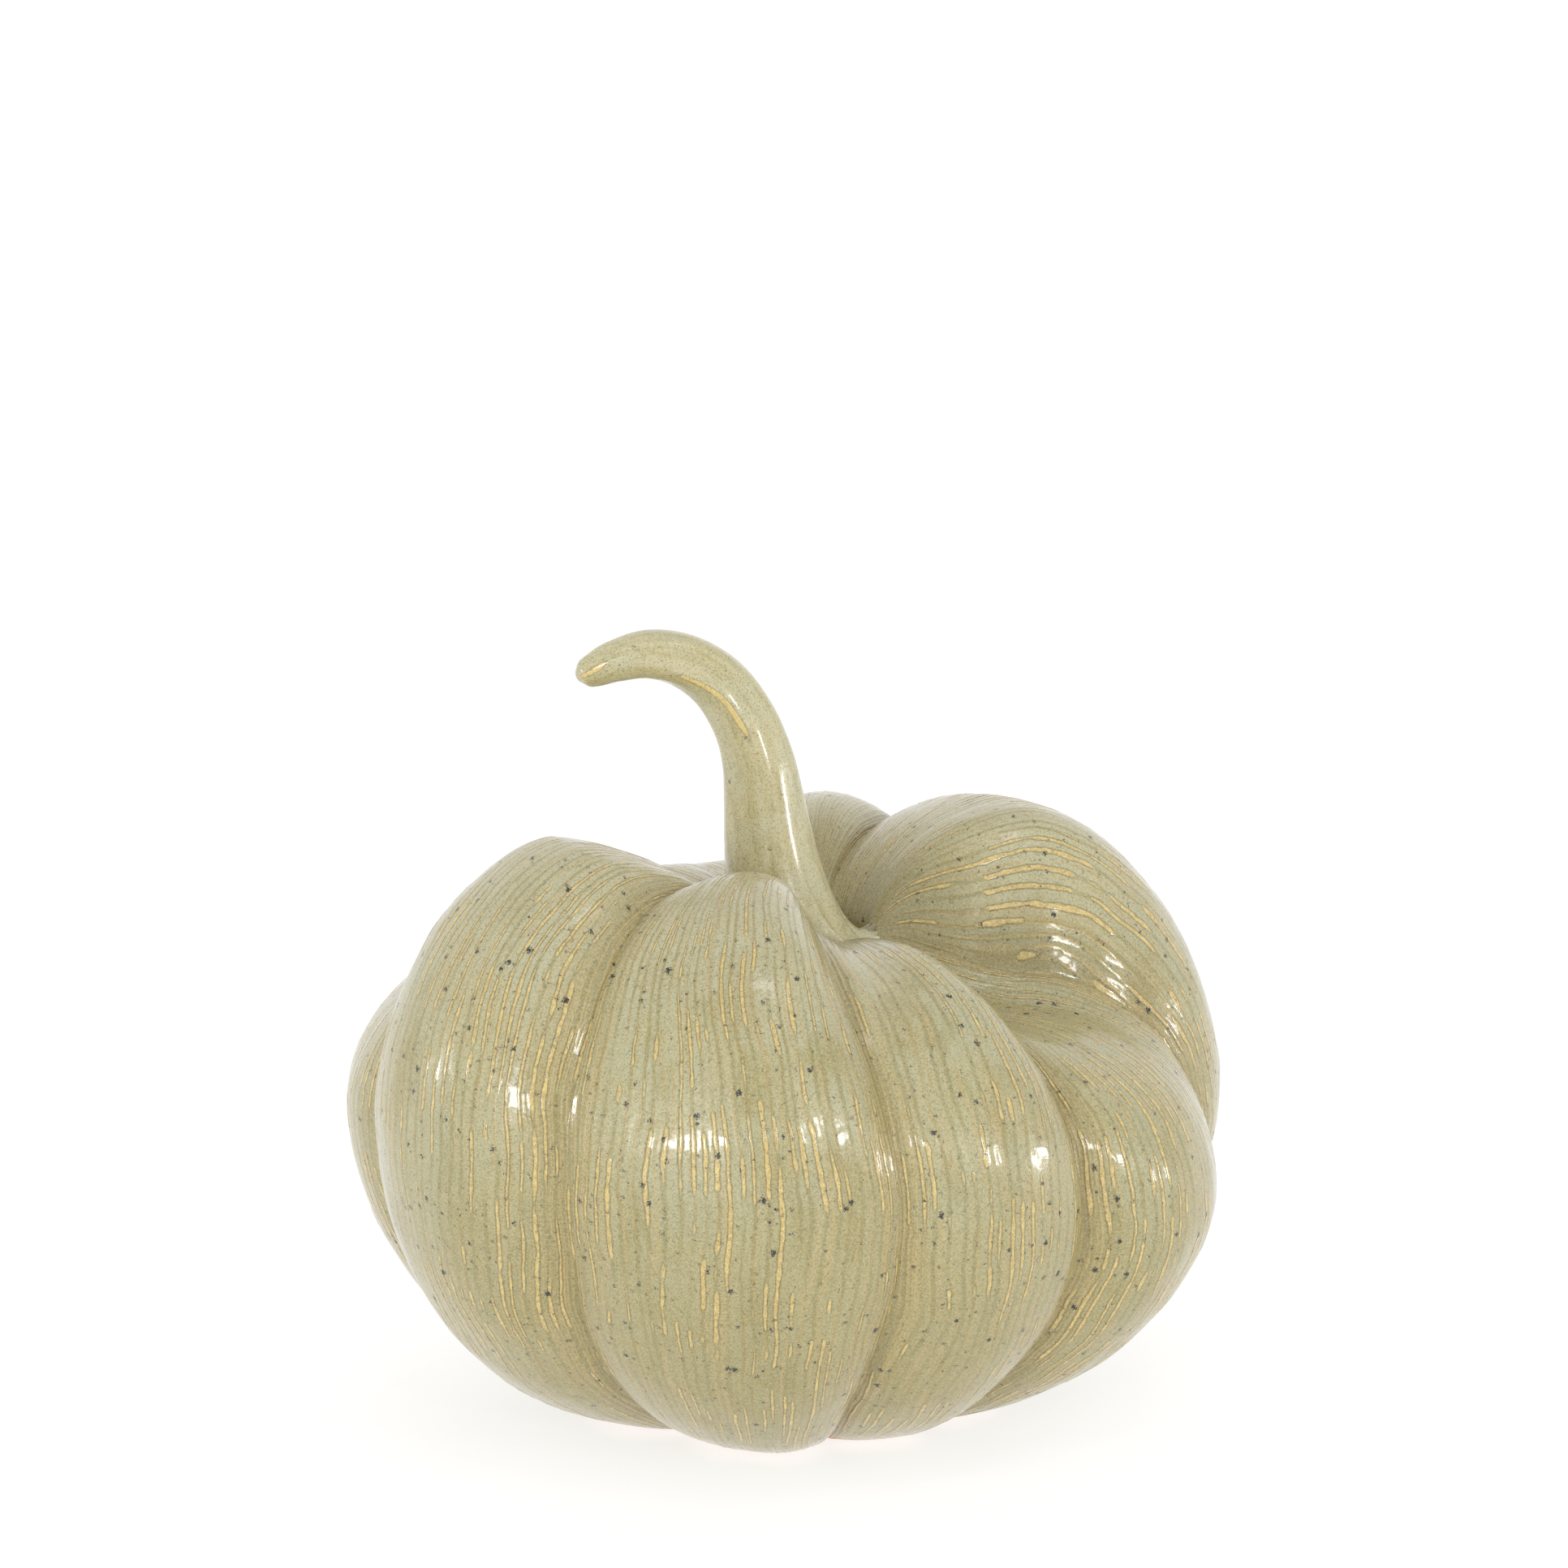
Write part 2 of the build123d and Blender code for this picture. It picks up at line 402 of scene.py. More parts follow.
def mix(factor, first, second):
    """Colour mix; first and second are colours or fields."""
    tree = factor.tree
    made = tree.nodes.new("ShaderNodeMix")
    made.data_type = "RGBA"
    made.clamp_factor = True
    connect(tree, factor, made.inputs[0])
    connect(tree, first, made.inputs[6])
    connect(tree, second, made.inputs[7])
    return Field(tree, made.outputs[2])


def bump(tree, height, distance, strength):
    made = tree.nodes.new("ShaderNodeBump")
    made.inputs["Strength"].default_value = strength
    made.inputs["Distance"].default_value = distance
    tree.links.new(height.socket, made.inputs["Height"])
    return Field(tree, made.outputs[0])


GLAZE = srgb(176, 171, 131)
GLAZE_COOL = srgb(172, 171, 137)
WARM_GLAZE_AND_LOW_SHADE = srgb(149, 138, 83)
POOLED_GLAZE_AND_SHADE = srgb(140, 129, 76)
GLAZE_PAINTED_TOP_LIGHT = srgb(188, 184, 153)
STEM_GLAZE = srgb(186, 176, 132)
STEM_PALE = srgb(194, 187, 148)
STEM_COOL = srgb(188, 186, 152)
OLIVE = srgb(116, 104, 60)
PALE = srgb(198, 193, 162)
BUFF = srgb(219, 192, 118)
BUFF_DEEP = srgb(196, 170, 104)
TAN = srgb(180, 156, 102)
SPECK = srgb(20, 25, 18)
SPECK_BROWN = srgb(104, 82, 50)
CLAY = srgb(222, 196, 172)
CLAY_DARK = srgb(188, 158, 134)


# Cell size of each kind of iron speck, its least radius and how much larger some are
SPECK_SIZES = ((2.9, 0.08, 0.62), (1.5, 0.10, 0.24))


def speckled(place_mm, colour, amount, rarer=0.0, size=1.0):
    """Fine olive and beige mottling, brown dots and dark iron specks over a glaze colour."""
    grain = noise(place_mm, 2.5, 2.0, 0.75)
    colour = mix(grain.step(0.50, 0.68) * 0.62, colour, OLIVE)
    colour = mix(grain.step(0.48, 0.32) * 0.40, colour, PALE)
    beige = noise(shifted(place_mm, (11.0, 5.0, 3.0)), 1.7, 2.0, 0.7)
    colour = mix(beige.step(0.54, 0.70) * 0.45, colour, TAN)
    freckle = noise(place_mm, 1.3, 3.0, 0.75)
    colour = mix(freckle.step(0.60, 0.68) * 0.40, colour, SPECK_BROWN)
    jitter = scaled(shifted(noise(place_mm, 2.3, 2.0, 0.8, colour=True), (-0.5, -0.5, -0.5)), 2.4)
    ragged = shifted(place_mm, jitter)
    _, _, height = split(place_mm)
    crowding = noise(place_mm, 0.09, 2.0).step(0.3, 0.7, 0.42, -0.15) + height.step(10.0, 125.0, -0.16, 0.15)
    crowding = crowding + rarer
    for pitch, smallest, spread in SPECK_SIZES:
        distance, chance, other = cells_3d(ragged, 1 / pitch)
        radius = (other.power(2.0) * spread + smallest) * size
        present = (chance - crowding).step(0.0, 0.02)
        spot = (distance * pitch - radius).step(-0.10, 0.10, 1.0, 0.0) * present
        colour = mix(spot * amount, colour, SPECK)
    return colour


GLAZE_IOR, COAT_WEIGHT, COAT_ROUGHNESS = 1.5, 0.55, 0.09


def new_material(name):
    material = bpy.data.materials.new(name)
    material.use_nodes = True
    tree = material.node_tree
    tree.nodes.clear()
    out = tree.nodes.new("ShaderNodeOutputMaterial")
    shader = tree.nodes.new("ShaderNodeBsdfPrincipled")
    tree.links.new(shader.outputs[0], out.inputs[0])
    shader.inputs["IOR"].default_value = GLAZE_IOR
    shader.inputs["Coat Weight"].default_value = COAT_WEIGHT
    shader.inputs["Coat Roughness"].default_value = COAT_ROUGHNESS
    shader.inputs["Coat IOR"].default_value = GLAZE_IOR
    return material, tree, shader


def shell_material():
    material, tree, shader = new_material("combed_sage_glaze")
    place_mm = position(tree)
    east, north, height = split(place_mm)
    furrow = attribute(tree, "furrow")
    bare_attribute = attribute(tree, "bare")
    bold, ridge_edge_pool_and_shade, faint, track, close = comb(tree)

    cloud = noise(place_mm, 0.05, 3.0, 0.6)
    colour = mix(cloud.step(0.42, 0.62), GLAZE, GLAZE_COOL)
    warm = noise(stretched(place_mm, (0.085, 0.085, 0.032)), 1.0, 3.0, 0.6)
    colour = mix(warm.step(0.46, 0.70) * 0.68, colour, WARM_GLAZE_AND_LOW_SHADE)
    # Darker and warmer towards the bottom: partly thinner glaze, partly painted shade under the lobes.
    colour = mix(height.step(110.0, 5.0) * 0.80, colour, WARM_GLAZE_AND_LOW_SHADE)
    # Painted light: the upper part of the shell is made paler, as if lit from above.
    colour = mix(height.step(92.0, 126.0) * 0.45, colour, GLAZE_PAINTED_TOP_LIGHT)
    # Painted shade: darker towards the stem, where the crown hollow lies in shadow; partly pooled glaze there
    # too.
    east, north = east - float(AXIS[0] / MM), north - float(AXIS[1] / MM)
    from_axis = (east * east + north * north).power(0.5)
    colour = mix(from_axis.step(46.0, 22.0) * 0.62, colour, POOLED_GLAZE_AND_SHADE)
    # Darker in the furrows: partly pooled glaze, partly painted shade.
    colour = mix(furrow.step(0.22, 0.95) * 0.72, colour, POOLED_GLAZE_AND_SHADE)
    colour = mix(faint * 0.60, colour, TAN)
    colour = mix(track * 0.64, colour, POOLED_GLAZE_AND_SHADE)
    colour = mix(close * 0.42, colour, BUFF_DEEP)
    # Dark edges beside the bold ridges: partly pooled glaze, partly painted shade.
    colour = mix(ridge_edge_pool_and_shade * 0.62, colour, OLIVE)
    shade = noise(place_mm, 0.8, 1.0)
    buff = mix(shade.step(0.35, 0.65), BUFF, BUFF_DEEP)
    colour = mix(bold * 0.92, colour, buff)
    colour = speckled(place_mm, colour, 0.98)

    line = height + (noise(place_mm, 0.12, 2.0) - 0.5) * 3.0
    bare = line.step(2.0, 2.5, 1.0, 0.0).most(bare_attribute)
    clay_grain = noise(place_mm, 1.4, 4.0, 0.7)
    clay = mix(clay_grain.step(0.4, 0.7), CLAY, CLAY_DARK)
    colour = mix(bare, colour, clay)
    tree.links.new(colour.socket, shader.inputs["Base Color"])
    roughness = noise(place_mm, 0.6, 2.0).step(0.3, 0.7, 0.24, 0.34) + bare * 0.5 + bold * 0.06
    tree.links.new(roughness.socket, shader.inputs["Roughness"])
    coat = bare.step(0.0, 1.0, COAT_WEIGHT, 0.0)
    tree.links.new(coat.socket, shader.inputs["Coat Weight"])
    relief = bold * 0.7 - ridge_edge_pool_and_shade * 0.30 + faint * 0.12 + track * 0.06 + close * 0.5
    relief = relief + noise(place_mm, 0.45, 2.0, 0.5) * 0.8 + grain_height(place_mm) * 0.22
    normal = bump(tree, relief + clay_grain * bare * 0.8, 0.00018, 0.8)
    tree.links.new(normal.socket, shader.inputs["Normal"])
    pooled = noise(place_mm, 0.30, 2.0, 0.5) * 0.9 + bold * 0.25
    tree.links.new(bump(tree, pooled, 0.00014, 0.5).socket, shader.inputs["Coat Normal"])
    return material


def grain_height(place_mm):
    return noise(place_mm, 2.2, 2.0, 0.6)


def stem_material():
    material, tree, shader = new_material("smooth_sage_glaze")
    place_mm = position(tree)
    ridge = attribute(tree, "ridge")
    edge_line = attribute(tree, "edge")
    flow = attribute(tree, "flow", "FLOAT_VECTOR")
    cloud = noise(flow, 0.16, 3.0, 0.6)
    colour = mix(cloud.step(0.36, 0.58), STEM_GLAZE, STEM_PALE)
    cool = noise(shifted(place_mm, (30.0, 0.0, 10.0)), 0.11, 2.0)
    colour = mix(cool.step(0.46, 0.66) * 0.6, colour, STEM_COOL)
    streak = noise(flow, 0.55, 2.0, 0.6)
    colour = mix(streak.step(0.48, 0.66) * 0.30, colour, WARM_GLAZE_AND_LOW_SHADE)
    wobble = (noise(place_mm, 0.9, 2.0) - 0.5) * 0.35
    edge = (edge_line + wobble).step(0.60, 0.78)
    colour = mix((edge_line + wobble).step(0.30, 0.60) * 0.45, colour, OLIVE)
    colour = mix(edge * 0.9, colour, BUFF)
    colour = speckled(place_mm, colour, 0.90, rarer=0.34, size=0.60)
    tree.links.new(colour.socket, shader.inputs["Base Color"])
    roughness = noise(place_mm, 0.6, 2.0).step(0.3, 0.7, 0.20, 0.30)
    tree.links.new(roughness.socket, shader.inputs["Roughness"])
    relief = noise(place_mm, 0.4, 2.0, 0.5) * 0.8 + edge * 0.5 + grain_height(place_mm) * 0.2
    relief = relief + ridge * 0.2
    tree.links.new(bump(tree, relief, 0.00014, 0.6).socket, shader.inputs["Normal"])
    return material


# ---------------------------------------------------------------- mesh helpers
def make_piece(name, points, faces, attributes, material):
    mesh = bpy.data.meshes.new(name)
    mesh.from_pydata(points, [], faces)
    for key, (kind, domain, values) in attributes.items():
        layer = mesh.attributes.new(key, kind, domain)
        layer.data.foreach_set("vector" if kind == "FLOAT_VECTOR" else "value", np.ravel(values))
    mesh.materials.append(material)
    mesh.shade_smooth()
    mesh.update()
    piece = bpy.data.objects.new(name, mesh)
    bpy.context.scene.collection.objects.link(piece)
    return piece


def grid_faces(rows, columns, flip=False):
    """Quads between the rows of a grid of closed rings; flip turns their faces over."""
    i, j = np.meshgrid(np.arange(rows - 1), np.arange(columns), indexing="ij")
    k = (j + 1) % columns
    quads = np.stack([i * columns + j, (i + 1) * columns + j, (i + 1) * columns + k, i * columns + k], -1)
    quads = quads.reshape(-1, 4)
    return quads[:, ::-1] if flip else quads


def ring(radius, height, angles):
    return np.stack([radius * np.cos(angles), radius * np.sin(angles), np.full_like(angles, height)], -1)


# ---------------------------------------------------------------- shell
COLUMNS = 1360
ROWS = 270
COARSE = 8
SEAM = 6.5
CAVITY_ROWS = 61
ROOF_RADIUS = 10.0
SEAT_MARGIN = 1.5


def even_turns(count):
    """Lobe positions spaced evenly round the girth, starting in the back furrow."""
    turns = np.linspace(SEAM, SEAM + len(LOBES), 8001)
    girth = shell_points(turns, np.array([GIRTH_AT - 0.002, GIRTH_AT, GIRTH_AT + 0.002]))[1]
    length = np.r_[0, np.cumsum(np.linalg.norm(np.diff(girth, axis=0), axis=1))]
    wanted = np.linspace(0, length[-1], count, endpoint=False)
    return np.interp(wanted, length, turns), wanted, length[-1]


def even_stations(count):
    """Stations from crown to foot, spaced evenly along the crests on average."""
    t = np.linspace(0, 1, 2001)
    rows = shell_points(np.arange(len(LOBES)) + 0.02, t)
    length = np.linalg.norm(np.diff(rows, axis=0), axis=2).mean(axis=1)
    length = np.r_[0, np.cumsum(length)]
    return np.interp(np.linspace(0, length[-1], count), length, t)


def build_shell():
    turns, across, total = even_turns(COLUMNS)
    stations = even_stations(ROWS)
    fine = np.linspace(0, 1, 2401)
    dense = shell_points(turns, fine)
    outer = np.stack([
        np.stack([np.interp(stations, fine, dense[:, c, axis]) for c in range(COLUMNS)], 1)
        for axis in range(3)
    ], -1)
    along = np.r_[np.zeros((1, COLUMNS)), np.cumsum(np.linalg.norm(np.diff(outer, axis=0), axis=2), axis=0)]

    points = [outer.reshape(-1, 3)]
    faces = grid_faces(ROWS, COLUMNS).tolist()
    count = ROWS * COLUMNS
    coarse = COLUMNS // COARSE
    coarse_turns = turns[::COARSE]

    def add(ring_points):
        nonlocal count
        first = count
        points.append(ring_points)
        count += len(ring_points)
        return first

    def bridge(fine_first, coarse_first, flip):
        """Many-sided faces from a fine ring to one with an eighth as many points."""
        for k in range(coarse):
            edge = [fine_first + (k * COARSE + s) % COLUMNS for s in range(COARSE + 1)]
            face = edge + [coarse_first + (k + 1) % coarse, coarse_first + k]
            faces.append(face[::-1] if flip else face)

    def rings(first, second, flip):
        for k in range(coarse):
            face = [first + k, second + k, second + (k + 1) % coarse, first + (k + 1) % coarse]
            faces.append(face[::-1] if flip else face)

    def fan(first, centre, flip):
        tip = add(np.array([centre]))
        for k in range(coarse):
            face = [first + k, tip, first + (k + 1) % coarse]
            faces.append(face[::-1] if flip else face)

    # crown seat under the stem
    top_angles = np.arctan2(outer[0, ::COARSE, 1], outer[0, ::COARSE, 0])
    seat = add(ring(CROWN_RADIUS - SEAT_MARGIN, CROWN_HEIGHT, top_angles))
    bridge(0, seat, False)
    fan(seat, (0, 0, CROWN_HEIGHT), True)

    # flat foot, rounded lip of the pour hole and its wall
    foot_angles = np.arctan2(outer[-1, ::COARSE, 1], outer[-1, ::COARSE, 0])
    previous = add(ring(*LIP[0], foot_angles))
    bridge((ROWS - 1) * COLUMNS, previous, True)
    for radius, height in LIP[1:]:
        following = add(ring(radius, height, foot_angles))
        rings(previous, following, False)
        previous = following

    # inside of the casting, floor to ceiling
    inside = shell_points(coarse_turns, np.linspace(0, 1, CAVITY_ROWS), WALL)[::-1]
    for row in inside:
        following = add(row)
        rings(previous, following, False)
        previous = following
    roof_angles = np.arctan2(inside[-1][:, 1], inside[-1][:, 0])
    following = add(ring(ROOF_RADIUS, CROWN_HEIGHT - WALL, roof_angles))
    rings(previous, following, False)
    fan(following, (0, 0, CROWN_HEIGHT - WALL), False)

    points = np.concatenate(points)
    outside = ROWS * COLUMNS
    skin = np.zeros(len(points))
    skin[:outside] = np.repeat(ease(stations / 0.05) * ease((1 - stations) / 0.06), COLUMNS)
    bare = np.ones(len(points))
    bare[: outside + coarse + 1] = 0.0
    furrow = np.zeros(len(points))
    crossing = 1 - np.abs(2 * np.mod(turns, 1.0) - 1)
    depth = between(stations, (0, TOP_AT, GIRTH_AT, 1.0), (0.3, 1, 1, 0.9))
    furrow[:outside] = (crossing[None, :] ** 4 * depth[:, None]).ravel()

    # flow: distance round the girth and distance down from the crown, on face corners so
    # that the numbers stay whole across the seam
    quads = (ROWS - 1) * COLUMNS
    corner_counts = np.array([len(face) for face in faces])
    corners = np.zeros((corner_counts.sum(), 3))
    quad_points = np.array(faces[:quads])
    rows_at, columns_at = quad_points // COLUMNS, quad_points % COLUMNS
    value = across[columns_at]
    last = (columns_at == 0) & (columns_at.max(axis=1, keepdims=True) == COLUMNS - 1)
    value = np.where(last, total, value)
    corners[: quads * 4, 0] = value.ravel()
    corners[: quads * 4, 1] = along[rows_at, columns_at].ravel()

    return make_piece(
        "pumpkin_shell", place(points), faces,
        {
            "flow": ("FLOAT_VECTOR", "CORNER", corners),
            "furrow": ("FLOAT", "POINT", furrow),
            "skin": ("FLOAT", "POINT", skin),
            "bare": ("FLOAT", "POINT", bare),
        },
        shell_material(),
    ), outer


def raise_relief(piece):
    """Moves the outer skin by the combed ridges and by the slow waviness of handwork."""
    tree = bpy.data.node_groups.new("relief", "GeometryNodeTree")
    tree.interface.new_socket("Geometry", in_out="INPUT", socket_type="NodeSocketGeometry")
    tree.interface.new_socket("Geometry", in_out="OUTPUT", socket_type="NodeSocketGeometry")
    source = tree.nodes.new("NodeGroupInput")
    result = tree.nodes.new("NodeGroupOutput")
    place_mm = position(tree)
    bold, _, faint, track, close = comb(tree)
    across, along, _ = split(attribute(tree, "flow", "FLOAT_VECTOR"))
    skin = attribute(tree, "skin")
    furrow = attribute(tree, "furrow")
    slow = (noise(place_mm, 0.035, 1.0) - 0.5) * 1.6 + (noise(place_mm, 0.11, 2.0) - 0.5) * 0.35
    ribs = (noise(join(tree, across / 5.5, along / 60.0, 0.0), 1.0, 1.0) - 0.5) * 0.32
    combed = bold * 0.09 + faint * 0.02 + track * 0.02 + close * 0.10
    height = slow + ribs + combed * furrow.step(0.75, 1.0, 1.0, 0.4)
    height = height * skin * MM
    normal = tree.nodes.new("GeometryNodeInputNormal")
    offset = scaled(Field(tree, normal.outputs[0]), height)
    moved = tree.nodes.new("GeometryNodeSetPosition")
    tree.links.new(source.outputs[0], moved.inputs["Geometry"])
    tree.links.new(offset.socket, moved.inputs["Offset"])
    tree.links.new(moved.outputs[0], result.inputs[0])
    modifier = piece.modifiers.new("relief", "NODES")
    modifier.node_group = tree
    graph = bpy.context.evaluated_depsgraph_get()
    mesh = bpy.data.meshes.new_from_object(
        piece.evaluated_get(graph), preserve_all_data_layers=True, depsgraph=graph,
    )
    piece.modifiers.clear()
    piece.data = mesh
    bpy.data.node_groups.remove(tree)


shell, outer_skin = build_shell()
raise_relief(shell)
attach(shell, "root")
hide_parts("shell")


# ---------------------------------------------------------------- stem
STEM_COLUMNS, STEM_ROWS, ROOT_ROWS = 160, 300, 60
RIDGES = 5
ROOT_TOP = 0.235
TIP_LENGTH, TIP_RADIUS = 2.4, 2.3
# Root: its middle, how far it spreads, how much farther to the right, and over which degrees
ROOT_MIDDLE = (-0.8, 0.0)
ROOT_SPREAD, ROOT_SPREAD_RIGHT, ROOT_RIGHT_AT, ROOT_RIGHT_WIDTH = 15.3, 7.6, 58, 34
ROOT_SINK, ROOT_LEAD = 0.25, 2.5
# Where along the stem the front ridge sits: degrees round from the front, positive to the right
RIDGE_SHARES = (0.0, 0.32, 0.50, 0.62, 0.74, 0.86, 1.0)
RIDGE_TURNS = (11, 7, 1, -4, -20, -46, -72)


def smooth_path(table, count):
    """Catmull-Rom curve through the rows of a table, evenly spaced along its length."""
    padded = np.vstack([2 * table[0] - table[1], table, 2 * table[-1] - table[-2]])
    fine = []
    for k in range(len(table) - 1):
        p0, p1, p2, p3 = padded[k:k + 4]
        u = np.linspace(0, 1, 60, endpoint=False)[:, None]
        fine.append(0.5 * (2 * p1 + (p2 - p0) * u + (2 * p0 - 5 * p1 + 4 * p2 - p3) * u**2
                           + (3 * p1 - p0 - 3 * p2 + p3) * u**3))
    fine = np.vstack(fine + [table[-1:]])
    length = np.r_[0, np.cumsum(np.linalg.norm(np.diff(fine[:, :2], axis=0), axis=1))]
    wanted = np.linspace(0, length[-1], count)
    return np.stack([np.interp(wanted, length, fine[:, c]) for c in range(table.shape[1])], -1), wanted


def build_stem():
    path, length = smooth_path(STEM_LINE, STEM_ROWS)
    share = length / length[-1]
    tangent = np.gradient(path[:, :2], axis=0)
    tangent /= np.linalg.norm(tangent, axis=1, keepdims=True)
    radius = path[:, 2] * np.interp(share, (0.5, 0.8, 1), (1.0, 1.07, 1.12))
    tip = np.clip((length[-1] - length) / TIP_LENGTH, 0, 1)
    radius = np.maximum(radius, TIP_RADIUS) * np.sqrt(1 - (1 - tip) ** 2)
    angles = np.linspace(0, 2 * np.pi, STEM_COLUMNS, endpoint=False)
    turn = np.interp(share, RIDGE_SHARES, RIDGE_TURNS)[:, None]
    off = (np.degrees(angles)[None, :] - turn + 180) % 360 - 180
    presence = np.interp(share, (0, 0.15, 0.68, 0.84, 1), (0.8, 1, 1, 0.25, 0.1))[:, None]
    front = np.exp((8 - np.sqrt(off**2 + 64)) / 16) * presence
    pitch = 360 / RIDGES
    beside = (off + pitch / 2) % pitch - pitch / 2
    others = np.exp(-(beside / 17) ** 2) * (1 - np.exp(-(off / 30) ** 2))
    others = others * np.interp(share, (0, 0.85, 1), (0.7, 0.9, 1.0))[:, None]
    flat = (np.exp(-((off + 42) / 24) ** 2) + 0.8 * np.exp(-((off - 44) / 22) ** 2)) * presence
    ridge = np.clip(front + others, 0, 1)
    reach = radius[:, None] * (0.975 + 0.085 * front + 0.035 * others - 0.055 * flat)
    sideways = reach * np.sin(angles)
    forward = reach * np.cos(angles)
    points = np.stack([
        path[:, 0:1] + sideways * tangent[:, 1:2],
        -forward,
        path[:, 1:2] - sideways * tangent[:, 0:1],
    ], -1)

    # root: from the stem's side down and out onto the lobes round the crown
    start_row = int(STEM_ROWS * ROOT_TOP * 0.75)
    skin_points = outer_skin[: ROWS // 4].reshape(-1, 3)
    tree = KDTree(len(skin_points))
    for k, spot in enumerate(skin_points):
        tree.insert((spot[0], spot[1], 0), k)
    tree.balance()

    def skin_height(x, y):
        found = tree.find_n((x, y, 0), 6)
        weights = np.array([1 / (0.15 + distance) for _, _, distance in found])
        heights = np.array([skin_points[k][2] for _, k, _ in found])
        return float((weights * heights).sum() / weights.sum())

    roots = np.zeros((ROOT_ROWS, STEM_COLUMNS, 3))
    centre = np.array(ROOT_MIDDLE)
    for c, angle in enumerate(angles):
        heading = np.array((math.sin(angle), -math.cos(angle)))
        toward_right = math.exp(-((math.degrees(angle) - ROOT_RIGHT_AT) / ROOT_RIGHT_WIDTH) ** 2)
        spread = ROOT_SPREAD + ROOT_SPREAD_RIGHT * toward_right
        end_xy = centre + heading * spread
        end = np.array((end_xy[0], end_xy[1], skin_height(*end_xy) - ROOT_SINK))
        beyond = centre + heading * (spread + ROOT_LEAD)
        rise = skin_height(*beyond) - ROOT_SINK - end[2]
        slope = np.array((heading[0] * ROOT_LEAD, heading[1] * ROOT_LEAD, rise))
        slope /= np.linalg.norm(slope)
        begin = points[start_row, c]
        down = points[start_row - 4, c] - points[start_row, c]
        down /= np.linalg.norm(down)
        span = np.linalg.norm(end - begin)
        first_handle = begin + down * span * 0.50
        last_handle = end - slope * span * 0.36
        u = np.linspace(0, 1, ROOT_ROWS + 1)[:-1][:, None]
        u = 1 - u
        roots[:, c] = ((1 - u) ** 3 * begin + 3 * u * (1 - u) ** 2 * first_handle
                       + 3 * u**2 * (1 - u) * last_handle + u**3 * end)
    body = np.concatenate([roots, points[start_row:]], axis=0)
    rows = len(body)
    ridge_rows = np.concatenate([np.repeat(ridge[start_row:start_row + 1], ROOT_ROWS, 0), ridge[start_row:]])
    fade = np.concatenate([np.linspace(0.2, 1, ROOT_ROWS), np.ones(len(points) - start_row)])[:, None]
    ridge_rows = ridge_rows * fade
    front_line = np.exp(-((off + 1) / 7) ** 2)
    front_line *= np.interp(share, (0.47, 0.54, 0.68, 0.74, 0.77), (0, 1, 1, 0.8, 0))[:, None]
    tip_off = (np.degrees(angles)[None, :] - turn - pitch + 180) % 360 - 180
    tip_line = np.exp(-(tip_off / 12) ** 2)
    tip_line *= np.interp(share, (0.90, 0.93, 0.98, 1.0), (0, 1, 1, 0.6))[:, None]
    edge_rows = np.concatenate([np.zeros((ROOT_ROWS, STEM_COLUMNS)), (front_line + tip_line)[start_row:]])
    along = np.concatenate([np.linspace(-10, length[start_row], ROOT_ROWS), length[start_row:]])
    along = np.repeat(along[:, None], STEM_COLUMNS, 1)

    # the last ring has shrunk to a point, so it is one vertex
    count = (rows - 1) * STEM_COLUMNS + 1
    faces = [
        list(dict.fromkeys(min(corner, count - 1) for corner in face))
        for face in grid_faces(rows, STEM_COLUMNS, flip=True).tolist()
    ]
    extra = [ring(9.0, CROWN_HEIGHT + 0.05, angles - np.pi / 2), np.array([[0, 0, CROWN_HEIGHT + 0.05]])]
    for k in range(STEM_COLUMNS):
        following = (k + 1) % STEM_COLUMNS
        faces.append([count + following, following, k, count + k])
        faces.append([count + following, count + k, count + STEM_COLUMNS])
    everything = np.concatenate([body.reshape(-1, 3)[:count]] + extra)
    tail = len(everything) - count
    grain = np.stack([
        np.repeat(np.cos(angles)[None], rows, 0) * 9,
        np.repeat(np.sin(angles)[None], rows, 0) * 9,
        along * 0.25,
    ], -1).reshape(-1, 3)[:count]
    return make_piece(
        "pumpkin_stem", place(everything), faces,
        {
            "ridge": ("FLOAT", "POINT", np.r_[ridge_rows.ravel()[:count], np.zeros(tail)]),
            "edge": ("FLOAT", "POINT", np.r_[edge_rows.ravel()[:count], np.zeros(tail)]),
            "flow": ("FLOAT_VECTOR", "POINT", np.concatenate([grain, np.zeros((tail, 3))])),
        },
        stem_material(),
    )


stem = build_stem()
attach(stem, "root")
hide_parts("stem")


# ---------------------------------------------------------------- floor and light
def floor_material():
    material = bpy.data.materials.new("white_floor")
    material.use_nodes = True
    tree = material.node_tree
    shader = tree.nodes["Principled BSDF"]
    place_mm = position(tree)
    tone = mix(noise(place_mm, 0.01, 2.0).step(0.3, 0.7), srgb(158, 158, 158), srgb(164, 164, 164))
    tree.links.new(tone.socket, shader.inputs["Base Color"])
    shader.inputs["Roughness"].default_value = 0.8
    shader.inputs["Specular IOR Level"].default_value = 0.2
    shader.inputs["Emission Color"].default_value = (1.0, 1.0, 1.0, 1.0)
    shader.inputs["Emission Strength"].default_value = 0.72
    return material


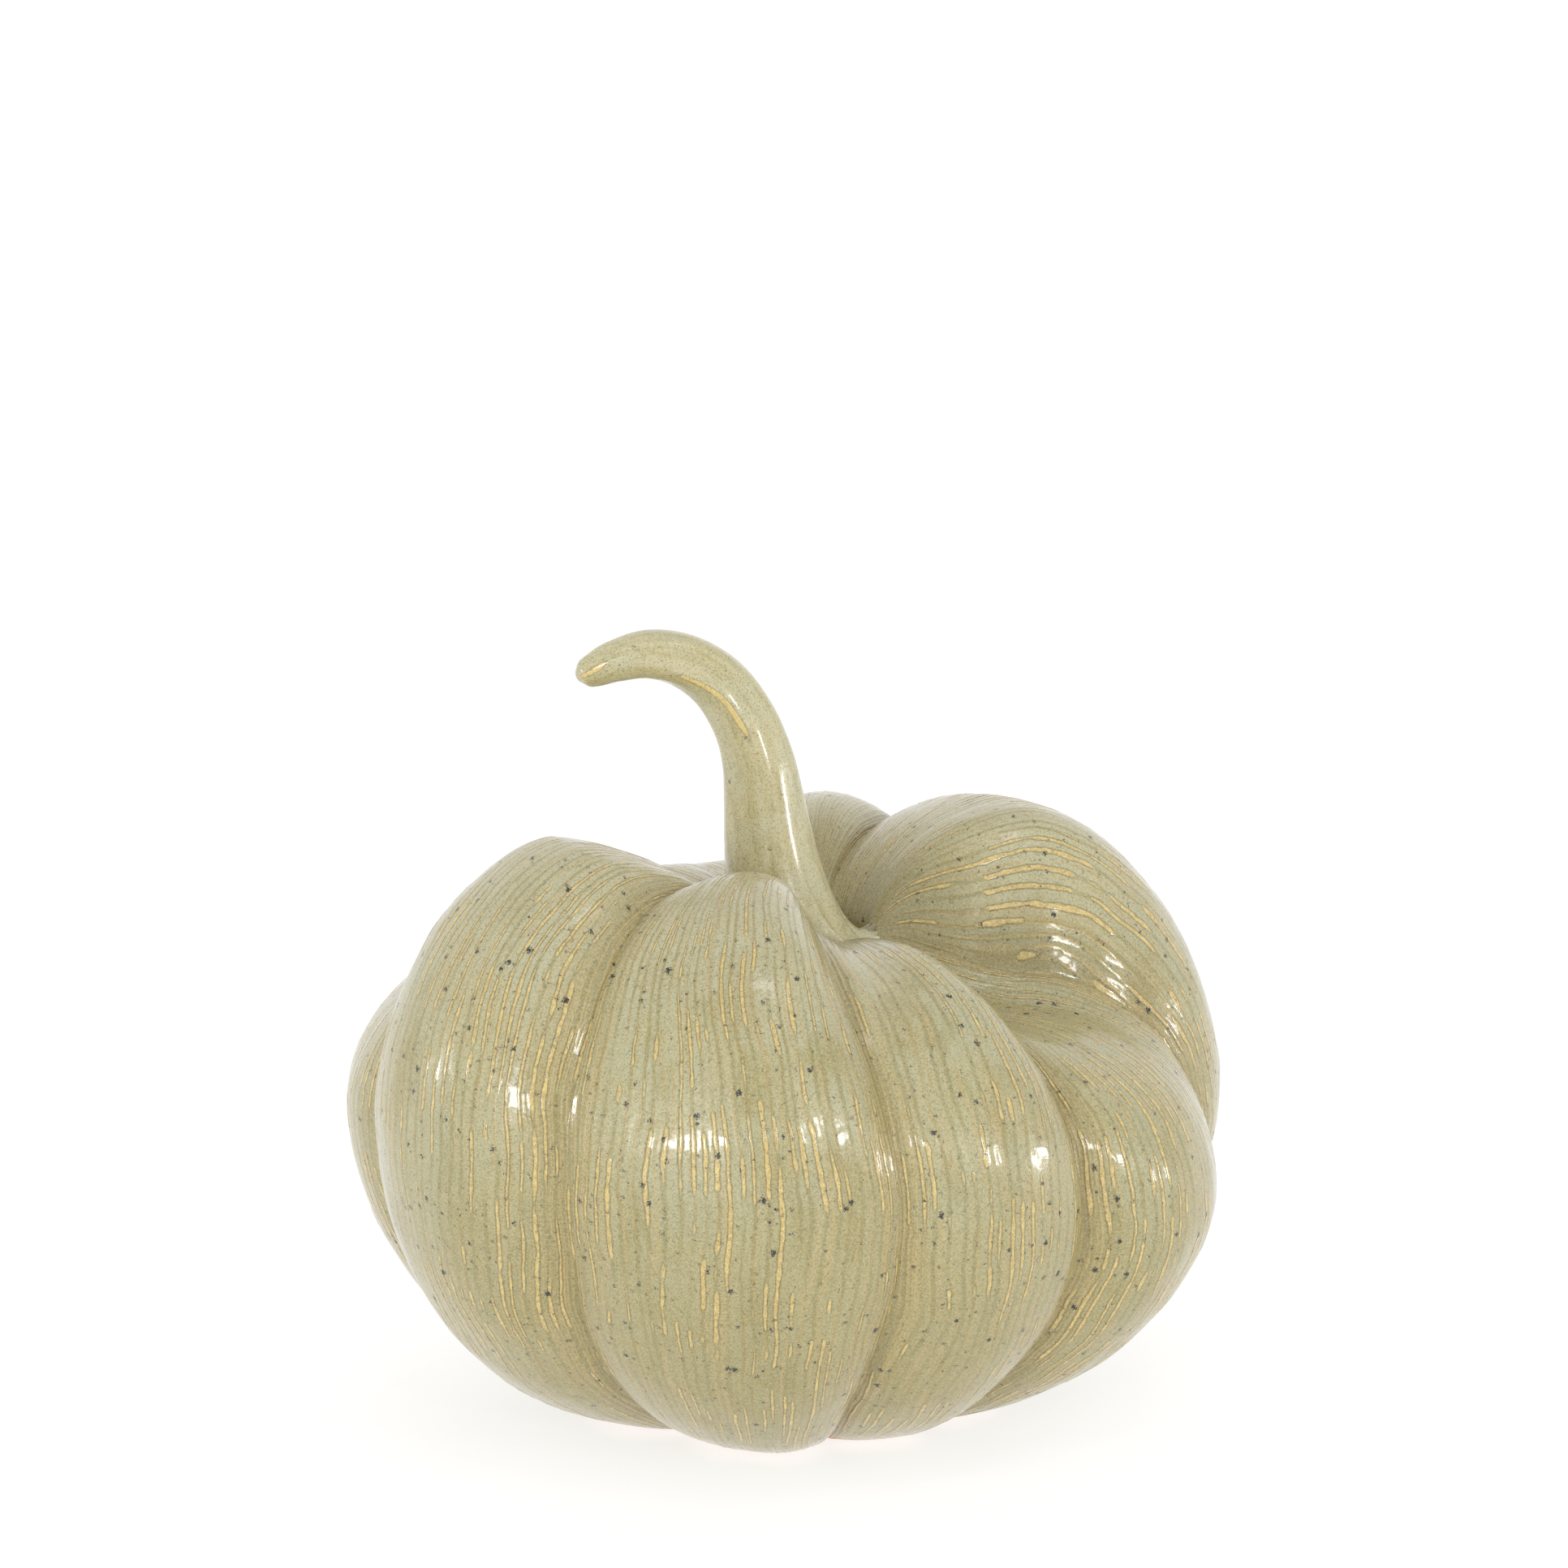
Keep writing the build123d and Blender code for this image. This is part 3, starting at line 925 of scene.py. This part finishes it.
def build_floor():
    """Floor that curves up into a backdrop far behind; it lies 0.1 mm below the foot."""
    half, depth, rise, bend, level = 6.0, 5.0, 6.0, 1.2, -0.0001
    section = [(-depth, level), (0.0, level), (depth - bend, level)]
    for k in range(1, 13):
        angle = k / 12 * math.pi / 2
        section.append((depth - bend + bend * math.sin(angle), bend - bend * math.cos(angle)))
    section.append((depth, rise))
    points = [(x, y, z) for y, z in section for x in (-half, half)]
    faces = [(2 * k, 2 * k + 1, 2 * k + 3, 2 * k + 2) for k in range(len(section) - 1)]
    return make_piece("floor", points, faces, {}, floor_material())


build_floor()


def area_light(name, azimuth, elevation, distance, width, height, power):
    """Softbox aimed at the pumpkin; azimuth 0 is the camera's side, positive to its right."""
    data = bpy.data.lights.new(name, "AREA")
    data.shape = "RECTANGLE"
    data.size, data.size_y = width, height
    data.energy = power
    lamp = bpy.data.objects.new(name, data)
    a, e = math.radians(azimuth), math.radians(elevation)
    aim = Vector(place((0, 0, 65)))
    offset = Vector((math.sin(a) * math.cos(e), -math.cos(a) * math.cos(e), math.sin(e))) * distance
    lamp.location = aim + offset
    lamp.rotation_euler = (-offset).to_track_quat("-Z", "Y").to_euler()
    bpy.context.scene.collection.objects.link(lamp)
    return lamp


# name, azimuth, elevation, distance, width, height, power
LIGHTS = (
    ("box_far_left", -84, 7, 1.6, 0.17, 0.10, 2.3),
    ("box_left", -31, 9, 1.6, 0.30, 0.14, 4.2),
    ("box_front_right", 26, 19, 1.6, 0.15, 0.15, 2.2),
    ("box_right", 54, 15, 1.6, 0.14, 0.14, 2.2),
    ("box_far_right", 88, 4, 1.6, 0.16, 0.14, 2.0),
    ("overhead", 30, 66, 1.8, 0.6, 0.2, 1.6),
)
for light in LIGHTS:
    area_light(*light)

world = bpy.data.worlds.new("studio")
world.use_nodes = True
world.node_tree.nodes["Background"].inputs[0].default_value = (1.0, 1.0, 1.0, 1.0)
world.node_tree.nodes["Background"].inputs[1].default_value = 0.86
bpy.context.scene.world = world
bpy.context.scene.view_settings.view_transform = "Standard"
